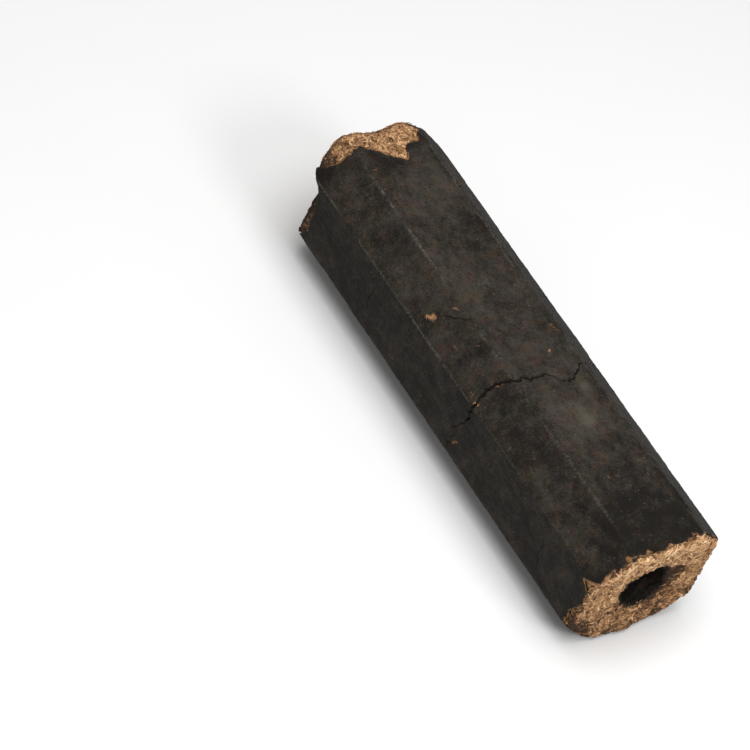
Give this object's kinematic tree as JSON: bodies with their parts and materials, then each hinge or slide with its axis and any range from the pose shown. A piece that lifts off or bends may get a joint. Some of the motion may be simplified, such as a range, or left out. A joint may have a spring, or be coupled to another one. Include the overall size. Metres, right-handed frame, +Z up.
{
  "type": "pressed sawdust fuel stick",
  "caption": "Chamfered square stick of pressed sawdust with a charred skin, pale rough ends, a round through hole and a transverse crack, lying on one flat.",
  "frame": {"origin": "under the middle of the stick, on the flat that it lies on", "axes": "+X along the hole towards the front end, +Z up from the flat that it lies on, +Y to the left of someone looking along +X"},
  "size_m": [0.234, 0.065, 0.065],
  "materials": {
    "char_skin": "charred, dull, with a faint rubbed sheen",
    "pressed_core": "rough pressed shavings, matt",
    "bore_lining": "charred, matt"
  },
  "bodies": {
    "root": {"front_char_skin": "char_skin", "rear_char_skin": "char_skin", "front_core": "pressed_core", "rear_core": "pressed_core", "front_bore_lining": "bore_lining", "rear_bore_lining": "bore_lining"}
  },
  "joints": []
}
